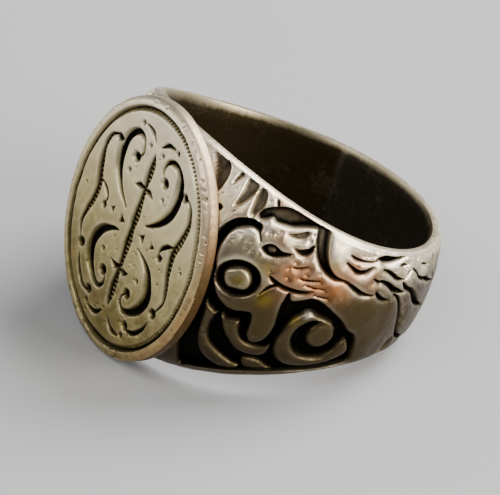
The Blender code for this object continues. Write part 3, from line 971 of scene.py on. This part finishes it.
HEAD_JOINT, SHANK_JOINT = 24.0, 149.0  # degrees round the hole
SEAM_WIDTH, SEAM_GAP, SEAM_SETBACK = 0.12, 0.012, 0.02  # mm


# beyond this angle the band isn't filed flat under the table
FILED_TO = 60


def joint_share(angle, width):
    """Half of a width, in degrees, in the middle of the wall at this angle."""
    facing = math.cos(math.radians(angle))
    crown_radius = side_radius if angle > FILED_TO else seat_distance / max(facing, 0.1)
    return math.degrees(width / 2 / ((hole_radius + crown_radius) / 2))


joint = SEAM_WIDTH + 2 * SEAM_GAP
along, outside_cells = ((400, 216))
start = HEAD_JOINT + joint_share(HEAD_JOINT, joint)
end = SHANK_JOINT - joint_share(SHANK_JOINT, joint)
for side, word in ((1, "right"), (-1, "left")):
    name = f"carved_shoulder_{word}"
    mesh = band_mesh(name, start, end, along, outside_cells, carved_finish)
    lay_piece(name, carve_band(mesh, side), f"shoulder_{word}")

# %% [markdown]
# ## Shank, head and seams
#
# The rear shank and the head base are plain sectors of the same band. A few feather cuts run
# a little way on to the shank, so it takes the same relief. Silver solder fills each joint
# and was filed flush, so a seam is a sliver of the band, set back by the width of a hair.

# %% Make the plain sectors and the seams
shank_start = SHANK_JOINT + joint_share(SHANK_JOINT, joint)
shank = band_mesh("shank_band", shank_start, 360 - shank_start, 200, 110, shank_finish)
lay_piece("shank_band", carve_band(shank, 1), "rear_shank")

head_end = HEAD_JOINT - joint_share(HEAD_JOINT, joint)
saddle = band_mesh("head_saddle", -head_end, head_end, 60, 90, carved_finish)
lay_piece("head_saddle", carve_band(saddle, 1), "head_base")

for side, word in ((1, "right"), (-1, "left")):
    for place, angle in (("head", HEAD_JOINT), ("shank", SHANK_JOINT)):
        half = joint_share(angle, SEAM_WIDTH)
        name = f"{place}_seam_{word}"
        seam = band_mesh(name, angle - half, angle + half, 3, 160, solder_finish, SEAM_SETBACK)
        lay_piece(name, carve_band(seam, side), f"{place}_solder_{word}")

# %% [markdown]
# ## The signet table
#
# The table is an oval plate with a rounded rim and a border groove, and its field is engraved.
# An owner's cipher would stand here; this one carries an ornament instead, a turned spindle
# between pairs of leaf scrolls, cut in the same manner: thin lines that swell into broad
# flat-bottomed strokes, round drops where a line curls up, and small three-cornered punches.
#
# The top is a square grid pressed into an oval, which keeps its cells even and has no pole.
# Rings of points carry its edge down the wall, and a fan of triangles closes the back. The
# right half of the ornament is drawn, and the left is its mirror image.

# %% The ornament: (mm to the side, mm along the finger, half width of the cut)
table_points = np.array([v.co for v in frame["nodes"]["signet_table"].data.vertices]) - hole_centre
table_side, table_long = (float(np.abs(table_points @ axis).max() / MM)
                          for axis in (side_axis, finger_axis))
table_back = float((table_points @ face_axis).min() / MM)
BORDER_INSET = 0.8
border_side, border_long = table_side - BORDER_INSET, table_long - BORDER_INSET

spindle = [(0, 5.3, .05), (0, 4.7, .3), (0, 3.9, .36), (0, 3.1, .24), (0, 2.0, .3), (0, 1.0, .4),
           (0, 0, .3), (0, -1.0, .4), (0, -2.0, .3), (0, -3.1, .24), (0, -4.1, .36),
           (0, -4.9, .3), (0, -5.6, .05)]
upper_collar = [(-1.0, 2.72, .04), (-.5, 2.9, .2), (0, 2.78, .12), (.5, 2.9, .2), (1.0, 2.72, .04)]
collars = [upper_collar, [(x, -y, half) for x, y, half in upper_collar]]
hatched_scrolls = [
    [(4.05, 4.6, .05), (4.75, 4.2, .14), (5.1, 3.2, .24), (4.9, 2.0, .3), (4.55, .8, .32),
     (4.65, -.4, .28), (5.0, -1.5, .2), (5.1, -2.4, .12), (4.7, -3.3, .05)],
]
solid_scrolls = [
    [(1.6, 4.25, .05), (1.2, 4.9, .12), (1.5, 5.6, .16), (2.3, 5.75, .22), (3.05, 5.1, .34),
     (3.35, 4.0, .44), (3.1, 2.8, .4), (2.45, 1.85, .26), (1.7, 1.2, .12), (1.2, .9, .04)],
    [(1.2, -.75, .04), (2.0, -1.05, .16), (2.9, -1.7, .34), (3.4, -2.8, .46), (3.1, -3.95, .4),
     (2.3, -4.75, .24), (1.5, -5.0, .14), (1.05, -4.5, .1), (1.3, -3.9, .05)],
]
fine_tendrils = [
    [(4.4, 1.2, .05), (3.8, .9, .17), (3.3, .4, .12), (3.4, .0, .05)],
    [(2.5, -5.95, .06), (3.3, -5.7, .17), (4.0, -4.95, .13), (4.3, -4.3, .05)],
    [(.35, 6.0, .05), (.9, 6.45, .16), (1.7, 6.6, .06)],
    [(.4, -6.2, .05), (1.0, -6.7, .15), (1.9, -6.7, .06)],
]
# drops: place and radius; punches: place, size and turn in degrees
drops = [(1.75, 4.25, .42), (1.5, -3.85, .4), (3.95, 4.45, .36), (4.5, -3.5, .38), (2.3, -5.75, .34),
         (3.4, -.12, .28), (2.05, 6.5, .2), (2.2, -6.5, .18), (.7, 5.6, .17), (2.0, 3.2, .17),
         (2.1, -2.6, .16), (5.8, .2, .1)]
punches = [(1.25, .02, .42, 180), (2.4, .1, .3, 0)]


def mirrored(path):
    """The same path on the other side."""
    return [(-point[0], *point[1:]) for point in path]


def triangle(x, y, size, turn):
    """A three-cornered punch mark, its corners doubled so that the curve stays sharp."""
    corners = [(x + size * math.cos(math.radians(turn + step)),
                y + size * math.sin(math.radians(turn + step))) for step in (0, 120, 240)]
    return [corner for corner in corners for _ in range(3)]


print(f"table {2 * table_side:.2f} x {2 * table_long:.2f} mm, back at {table_back:.2f} mm")

# %% The oval, its rim and the engraving
GROOVE_HALF, GROOVE_DEPTH = 0.24, 0.3  # mm
RIM_ROUND, RIM_BEVEL = 0.32, 0.26  # mm
BEVEL_TURN = math.radians(35)
STROKE_DEPTH, SCROLL_DEPTH, DROP_DEPTH, PUNCH_DEPTH = 0.34, 0.42, 0.38, 0.3  # mm
PIT_DEPTH, DENT_DEPTH = 0.1, 0.08
PITS, DENTS = 90, 60


def inside_oval(x, y, half_x, half_y):
    """Distance inside an oval, good near its edge."""
    share = (x / half_x) ** 2 + (y / half_y) ** 2
    slope = np.hypot(x / half_x ** 2, y / half_y ** 2)
    return (1 - share) / (2 * np.maximum(slope, 1e-6))


def rim_round(x, y):
    """The rim's rounding in mm: widest at the top right, where the edge has worn to a bevel."""
    turn = np.arctan2(x, y)
    return RIM_ROUND + RIM_BEVEL * np.clip(np.cos(turn - BEVEL_TURN), 0, 1)


def table_relief(x, y):
    """The engraving and its wear, at places on the table."""
    work = Carving(np.column_stack([x, y]))
    work.stroke(spindle, STROKE_DEPTH, roll=0.07, flat=True, soot=0.8)
    for path in collars:
        work.stroke(path, STROKE_DEPTH, roll=0.07, soot=0.9)
    for flip in (list, mirrored):
        for path in hatched_scrolls:
            work.stroke(flip(path), STROKE_DEPTH, roll=0.07, flat=True, soot=0.8)
        for path in solid_scrolls:
            work.stroke(flip(path), SCROLL_DEPTH, roll=0.08, soot=0.85)
        for path in fine_tendrils:
            work.stroke(flip(path), STROKE_DEPTH, roll=0.07)
    for across, along_finger, radius in drops:
        for flip in (1, -1):
            work.pocket(ellipse((flip * across, along_finger), radius, radius * 0.85, 8),
                        DROP_DEPTH, wall=radius * 0.8, roll=0.08)
    for across, along_finger, size, turn in punches:
        for x_mark, turn_mark in ((across, turn), (-across, 180 - turn)):
            work.pocket(triangle(x_mark, along_finger, size, turn_mark), PUNCH_DEPTH,
                        wall=size * 0.4, roll=0.05)
    # stray pits, most of them low on the right, and dents along the rim
    for _ in range(PITS):
        across, along_finger = luck.normal(2.2, 3.2), luck.normal(-1.0, 4.2)
        radius = luck.uniform(0.04, 0.1)
        work.pocket(ellipse((across, along_finger), radius, radius, 6), PIT_DEPTH, wall=radius,
                    roll=0.03, soot=0.5)
    for _ in range(DENTS):
        turn = luck.uniform(0, 2 * math.pi)
        radius = luck.uniform(0.06, 0.22)
        middle = ((table_side - 0.25) * math.sin(turn), (table_long - 0.25) * math.cos(turn))
        work.pocket(ellipse(middle, radius, radius * 0.7, 7), DENT_DEPTH, wall=radius, roll=0.08,
                    soot=0.3)
    from_border = inside_oval(x, y, border_side, border_long)
    outer_bank = np.clip((from_border + GROOVE_HALF) / 0.16, 0, 1)
    inner_bank = np.clip((GROOVE_HALF - from_border) / 0.26, 0, 1)
    in_groove = np.minimum(outer_bank, inner_bank)
    work.depth = np.maximum(work.depth, GROOVE_DEPTH * in_groove)
    work.soot = np.maximum(work.soot, 0.62 * in_groove)
    return work


print(f"border groove {2 * border_side:.2f} x {2 * border_long:.2f} mm,", GROOVE_DEPTH, "mm deep")

# %% Press the grid, carry its edge down the wall, and engrave the plate
ROLL_START = math.radians(50)  # the grid ends this far round the rim's rounding
LOW_ROUND = 0.2  # mm, the rounding of the lower edge
BACK_INSET = 2.5  # mm from the wall to the last ring on the back


def pressed_oval(cells):
    """A square grid of points pressed into a unit disc, and the loop of its edge."""
    line = np.linspace(-1, 1, cells + 1)
    across, along_finger = np.meshgrid(line, line, indexing="ij")
    x = across * np.sqrt(1 - along_finger ** 2 / 2)
    y = along_finger * np.sqrt(1 - across ** 2 / 2)
    index = np.arange((cells + 1) ** 2).reshape(cells + 1, cells + 1)
    edge = np.concatenate([index[:-1, 0], index[-1, :-1], index[:0:-1, -1], index[0, :0:-1]])
    faces = np.stack([index[:-1, :-1], index[1:, :-1], index[1:, 1:], index[:-1, 1:]], -1)
    return np.column_stack([x.ravel(), y.ravel()]), edge, faces.reshape(-1, 4)


def wall_rings(edge_points):
    """Rings from the grid's edge down the wall and in under the plate, in mm."""
    rounding = rim_round(*edge_points.T)
    profile = [(rounding * (1 - math.sin(math.radians(a))),
                face_distance - rounding * (1 - math.cos(math.radians(a)))) for a in (60, 70, 80, 90)]
    profile += [(0, face_distance - rounding - 0.12), (0, table_back + LOW_ROUND)]
    profile += [(LOW_ROUND * (1 - math.cos(math.radians(a))),
                 table_back + LOW_ROUND * (1 - math.sin(math.radians(a)))) for a in (30, 60, 90)]
    profile += [(BACK_INSET, table_back)]
    return [np.column_stack([edge_points[:, 0] * (table_side - inset),
                             edge_points[:, 1] * (table_long - inset),
                             np.full(len(edge_points), level)]) for inset, level in profile]


def store_plate_state(mesh, work, points):
    """The field is painted darker towards the bottom and lighter at the top, the wall painted dark,
    the rim given a painted highlight on top; the rim is coppery at the right.
    """
    x, y, z = points.T
    rest = np.zeros(len(points) - len(work.depth))
    on_rim = np.clip((0.6 - inside_oval(x, y, table_side, table_long)) / 0.15, 0, 1)
    on_wall = z < face_distance - 0.3
    # painted light: top grows towards the top of the plate and lightens the field, rim and wall
    # there; the field is painted darker towards the bottom and the wall darker still
    top = np.clip((y + 1) / 8, 0, 1) ** 1.5
    store_state(mesh, np.concatenate([-work.depth, rest]),
                np.concatenate([work.soot, rest]) + (0.65 - 0.45 * top) * on_wall,
                np.clip(0.38 - y / 11, 0, 1) * (1 - 0.4 * on_rim) + (0.9 - 0.65 * top) * on_wall,
                on_rim * np.clip(x / 5, 0, 1) * 0.5,
                patches(points[:, :2], [(-5, 1.5, 1.6, .3), (3, -6, 1.6, .3)]),
                np.where(on_wall, 0.6, 0.8 + 0.4 * on_rim) * top, 0.3)


def engraved_table(cells):
    """The whole plate, in mm: x to the side, y along the finger, z out of the hole's centre."""
    disc, edge, faces = pressed_oval(cells)
    inset = rim_round(*disc.T) * (1 - math.sin(ROLL_START))
    x, y = disc[:, 0] * (table_side - inset), disc[:, 1] * (table_long - inset)
    rounding = rim_round(x, y)
    from_edge = np.clip(inside_oval(x, y, table_side, table_long), 0, rounding)
    drop = rounding - np.sqrt(np.maximum(rounding ** 2 - (rounding - from_edge) ** 2, 0))
    work = table_relief(x, y)
    uneven = hand_wear(np.column_stack([x, y, np.zeros(len(x))])) - 0.03
    points = [np.column_stack([x, y, face_distance - drop - work.depth + uneven])]
    loop, total = edge, len(disc)
    for ring in wall_rings(disc[edge]):
        points.append(ring)
        following = np.arange(total, total + len(ring))
        faces = np.vstack([faces, np.stack([loop, np.roll(loop, -1), np.roll(following, -1),
                                            following], -1)])
        loop, total = following, total + len(ring)
    points = np.vstack([*points, [[0, 0, table_back]]])
    fan = [(int(a), int(b), total) for a, b in zip(loop, np.roll(loop, -1))]
    mesh = bpy.data.meshes.new("engraved_table")
    mesh.from_pydata(points.tolist(), [], faces.tolist() + fan)
    mesh.materials.append(table_finish)
    store_plate_state(mesh, work, points)
    return mesh


# the plate is drawn facing up; one more matrix turns it to the band's axes
face_up = Matrix(((1, 0, 0, 0), (0, 0, -1, 0), (0, 1, 0, 0), (0, 0, 0, 1)))
table = engraved_table(290)
table.transform(face_up)
lay_piece("engraved_table", table, "signet_table")

# %% [markdown]
# ## Milling and hatching
#
# The inner bank of the border groove is milled with a small wheel that leaves a row of bars,
# and the broad strokes of the ornament are hatched across in the same way. Both are one bar
# repeated along a line, so one Geometry Nodes tree does both. It resamples a line at an even
# pitch, puts a low-sided bead at each point, turns it across the line, and stretches it to
# the width that the line carries there as its radius.

# %% The tree that lays bars across a line


def build_bar_tree():
    """A node tree that repeats a small bar along its curves, across them."""
    tree = bpy.data.node_groups.new("bars across a line", "GeometryNodeTree")
    tree.interface.new_socket("Geometry", in_out="OUTPUT", socket_type="NodeSocketGeometry")
    tree.interface.new_socket("Geometry", in_out="INPUT", socket_type="NodeSocketGeometry")
    for name, kind in (("Pitch", "NodeSocketFloat"), ("Bar Width", "NodeSocketFloat"),
                       ("Bar Height", "NodeSocketFloat"), ("Unevenness", "NodeSocketFloat"),
                       ("Seed", "NodeSocketInt"), ("Finish", "NodeSocketMaterial")):
        tree.interface.new_socket(name, in_out="INPUT", socket_type=kind)
    given = add_node(tree, "NodeGroupInput").outputs
    line = add_node(tree, "GeometryNodeResampleCurve", {"mode": "LENGTH"},
                    {"Curve": given["Geometry"], "Length": given["Pitch"]})
    bead = add_node(tree, "GeometryNodeMeshUVSphere", None,
                    {"Segments": 8, "Rings": 5, "Radius": 1.0})
    tangent = add_node(tree, "GeometryNodeInputTangent")
    turned = add_node(tree, "FunctionNodeAlignRotationToVector", {"axis": "X", "pivot_axis": "Z"},
                      {"Vector": tangent.outputs[0]})
    reach = add_node(tree, "GeometryNodeInputRadius")
    least = add_node(tree, "ShaderNodeMath", {"operation": "SUBTRACT"},
                     {0: 1.0, 1: given["Unevenness"]})
    chance = add_node(tree, "FunctionNodeRandomValue", {"data_type": "FLOAT"},
                      {2: least.outputs[0], 3: 1.0, "Seed": given["Seed"]})
    length = add_node(tree, "ShaderNodeMath", {"operation": "MULTIPLY"},
                      {0: reach.outputs[0], 1: chance.outputs[1]})
    size = add_node(tree, "ShaderNodeCombineXYZ", None,
                    {0: given["Bar Width"], 1: length.outputs[0], 2: given["Bar Height"]})
    bars = add_node(tree, "GeometryNodeInstanceOnPoints", None,
                    {"Points": line.outputs[0], "Instance": bead.outputs["Mesh"],
                     "Rotation": turned.outputs[0], "Scale": size.outputs[0]})
    real = add_node(tree, "GeometryNodeRealizeInstances", None, {"Geometry": bars.outputs[0]})
    done = add_node(tree, "GeometryNodeSetMaterial", None,
                    {"Geometry": real.outputs[0], "Material": given["Finish"]})
    add_node(tree, "NodeGroupOutput", None, {0: done.outputs[0]})
    return tree


bar_tree = build_bar_tree()
print("bar tree:", len(bar_tree.nodes), "nodes")

# %% Lay the milling in the border groove and the hatching in the broad strokes
BAR_STATE = (("patina_and_shade", 0.38), ("tarnish_and_shade", 0.6), ("wear_and_highlight", 0.0))
MILLED_INSET = BORDER_INSET + 0.08  # mm, the inner bank of the groove
MILLED_FROM, MILLED_TO = math.radians(-50), math.radians(150)  # from the top, clockwise
MILLING_LEVEL, HATCHING_LEVEL = face_distance - 0.2, face_distance - 0.33
LEAST_HATCHED = 0.15  # mm, half the width of the narrowest cut that is hatched


def lines_at(name, paths, level):
    """Paths of (x, y, half width) as one curve, at one distance from the hole's centre."""
    curve = bpy.data.curves.new(name, "CURVE")
    curve.dimensions = "3D"
    for path in paths:
        spline = curve.splines.new("POLY")
        spline.points.add(len(path) - 1)
        for point, (x, y, half) in zip(spline.points, path):
            point.co = (x, y, level, 1)
            point.radius = half
    return curve


def lay_bars(name, curve, pitch, width, height, unevenness, seed):
    """Bars along a curve on the table, as a piece of the ring."""
    mesh = mesh_from_tree(name, bar_tree, curve, {
        "Pitch": pitch, "Bar Width": width, "Bar Height": height,
        "Unevenness": unevenness, "Seed": seed, "Finish": table_finish,
    })
    for attribute, value in BAR_STATE:
        write_values(mesh, attribute, np.full(len(mesh.vertices), value))
    mesh.transform(face_up)
    lay_piece(name, mesh, None)


border_line = []
for turn in np.linspace(MILLED_FROM, MILLED_TO, 120):
    fade = math.sin(math.pi * (turn - MILLED_FROM) / (MILLED_TO - MILLED_FROM))
    border_line.append(((table_side - MILLED_INSET) * math.sin(turn),
                        (table_long - MILLED_INSET) * math.cos(turn), 0.06 + 0.18 * fade))
lay_bars("border_milling", lines_at("border", [border_line], MILLING_LEVEL),
         pitch=0.27, width=0.08, height=0.12, unevenness=0.5, seed=3)

hatched = []
for path in [spindle, *hatched_scrolls, *map(mirrored, hatched_scrolls)]:
    whole = smooth_through(path, False)
    hatched.append([tuple(point) for point in whole if point[2] > LEAST_HATCHED])
lay_bars("stroke_hatching", lines_at("hatched strokes", hatched, HATCHING_LEVEL),
         pitch=0.3, width=0.1, height=0.1, unevenness=0.25, seed=5)

# %% The solder under the table keeps its CAD shape and takes the solder's finish
for slot in frame["nodes"]["table_solder"].material_slots:
    slot.material = solder_finish
print("the film of solder under the table keeps its CAD mesh")

# %% [markdown]
# ## Floor, light and camera
#
# The ring lies on a plain pale floor. Silver is a mirror, so what it reflects is the light.
# Four soft panels stand round it: two windows, behind and to the right, brighten the rims and
# the tops of the shoulders, a high one stands for the sky, and a broad fill in front keeps the
# table readable. The rest of the room is a quiet grey, so the sides stay dark.

# %% Set the stage
FLOOR_SIZE = 0.6  # metres
floor_mesh = bpy.data.meshes.new("floor")
half = FLOOR_SIZE / 2
floor_mesh.from_pydata([(-half, -half, 0), (half, -half, 0), (half, half, 0), (-half, half, 0)],
                       [], [(0, 1, 2, 3)])
floor = bpy.data.objects.new("floor", floor_mesh)
bpy.context.scene.collection.objects.link(floor)
floor_paper = bpy.data.materials.new("matte pale card")
floor_paper.use_nodes = True
floor_shader = floor_paper.node_tree.nodes["Principled BSDF"]
floor_shader.inputs["Base Color"].default_value = linear("#A8A8AB")
floor_shader.inputs["Roughness"].default_value = 0.9
floor_mesh.materials.append(floor_paper)

world = bpy.data.worlds.new("studio")
world.use_nodes = True
world.node_tree.nodes["Background"].inputs["Color"].default_value = linear("#9FA3A8")
world.node_tree.nodes["Background"].inputs["Strength"].default_value = 0.35
bpy.context.scene.world = world


def from_angles(azimuth, elevation):
    """Unit vector towards a place in the studio: azimuth 0 is in front, 90 to the right."""
    turn, rise = math.radians(azimuth), math.radians(elevation)
    level = math.cos(rise)
    return Vector((math.sin(turn) * level, -math.cos(turn) * level, math.sin(rise)))


def soft_panel(name, azimuth, elevation, distance, size, power, colour):
    """A square light that faces the ring."""
    lamp = bpy.data.lights.new(name, "AREA")
    lamp.size, lamp.energy, lamp.color = size, power, linear(colour)[:3]
    lit = bpy.data.objects.new(name, lamp)
    bpy.context.scene.collection.objects.link(lit)
    towards = from_angles(azimuth, elevation)
    lit.location = Vector(hole_centre) + towards * distance
    lit.rotation_euler = towards.to_track_quat("Z", "Y").to_euler()


# name, azimuth and elevation in degrees, distance and size in metres, watts, colour
panels = [
    ("sky", 14, 52, 0.5, 0.36, 1.6, "#FBFAF6"),
    ("window", 124, 20, 0.5, 0.3, 4.2, "#FFFBF2"),
    ("back_window", 180, 46, 0.5, 0.36, 5.5, "#FFFDF8"),
    ("front_fill", -46, 14, 0.6, 0.4, 1.5, "#F6F4EE"),
]
for panel in panels:
    soft_panel(*panel)
print("panels:", [panel[0] for panel in panels])

# %% Aim the camera
# it circles the middle of the finger hole, and is turned a little off it to frame the ring
CAMERA_AZIMUTH, CAMERA_ELEVATION, CAMERA_ROLL = 53.17, 32.665, 7.033  # degrees
CAMERA_DISTANCE = 164.529 * MM
AIM_LEFT, AIM_DOWN = 0.603, 0.465  # degrees
LENS, SENSOR_WIDTH, NEAREST = 180, 36, 0.01

back = from_angles(CAMERA_AZIMUTH, CAMERA_ELEVATION)
level = Vector((0, 0, 1)).cross(back).normalized()
upright = back.cross(level)
roll = math.radians(CAMERA_ROLL)
right = math.cos(roll) * level + math.sin(roll) * upright
up = math.cos(roll) * upright - math.sin(roll) * level
facing = Matrix((right, up, back)).transposed().to_4x4()
facing = facing @ Matrix.Rotation(math.radians(AIM_LEFT), 4, "Y")
facing = facing @ Matrix.Rotation(math.radians(-AIM_DOWN), 4, "X")
camera_data = bpy.data.cameras.new("camera")
camera_data.lens, camera_data.sensor_width = LENS, SENSOR_WIDTH
camera_data.clip_start = NEAREST
camera = bpy.data.objects.new("camera", camera_data)
camera.matrix_world = Matrix.Translation(Vector(hole_centre) + back * CAMERA_DISTANCE) @ facing
bpy.context.scene.collection.objects.link(camera)
bpy.context.scene.camera = camera
print("camera", round(CAMERA_DISTANCE * 1000, 1), "mm from the hole, lens", LENS, "mm")
